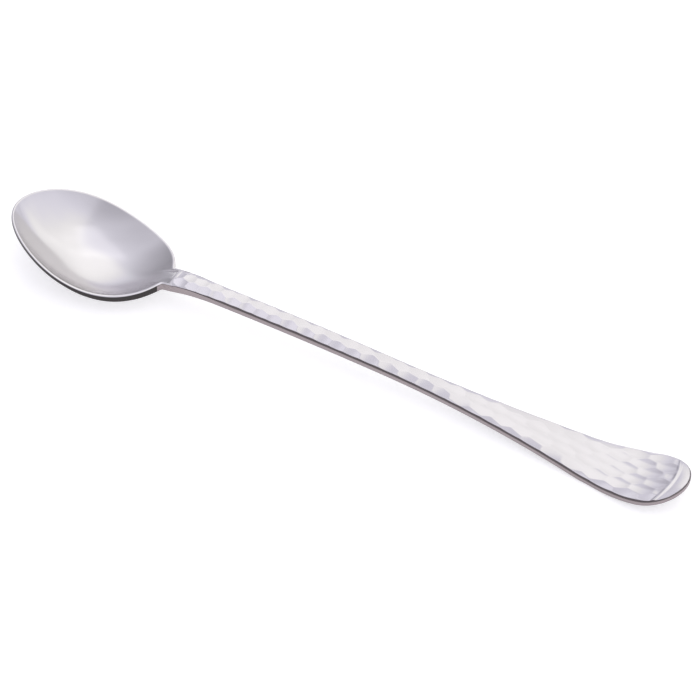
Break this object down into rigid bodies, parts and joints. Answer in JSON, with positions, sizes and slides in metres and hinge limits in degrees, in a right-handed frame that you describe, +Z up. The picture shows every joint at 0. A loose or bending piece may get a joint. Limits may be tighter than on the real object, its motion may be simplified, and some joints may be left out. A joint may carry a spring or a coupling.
{
  "type": "iced tea spoon",
  "caption": "Long iced tea spoon of polished steel: smooth oval bowl, slim neck and stem, and a flat hammered handle that flares to a rounded end with a smooth crescent.",
  "frame": {"origin": "middle of the spoon's length and width, on the table that it rests on", "axes": "+X along the handle towards its flared end, +Z up, the bowl's tip towards -X"},
  "size_m": [0.19, 0.0308, 0.012],
  "materials": {
    "bowl_steel": "satin polished stainless steel",
    "handle_steel": "bright polished hammered stainless steel"
  },
  "bodies": {
    "root": {"bowl": "bowl_steel", "neck": "handle_steel", "stem": "handle_steel", "handle_end": "handle_steel"}
  },
  "joints": []
}
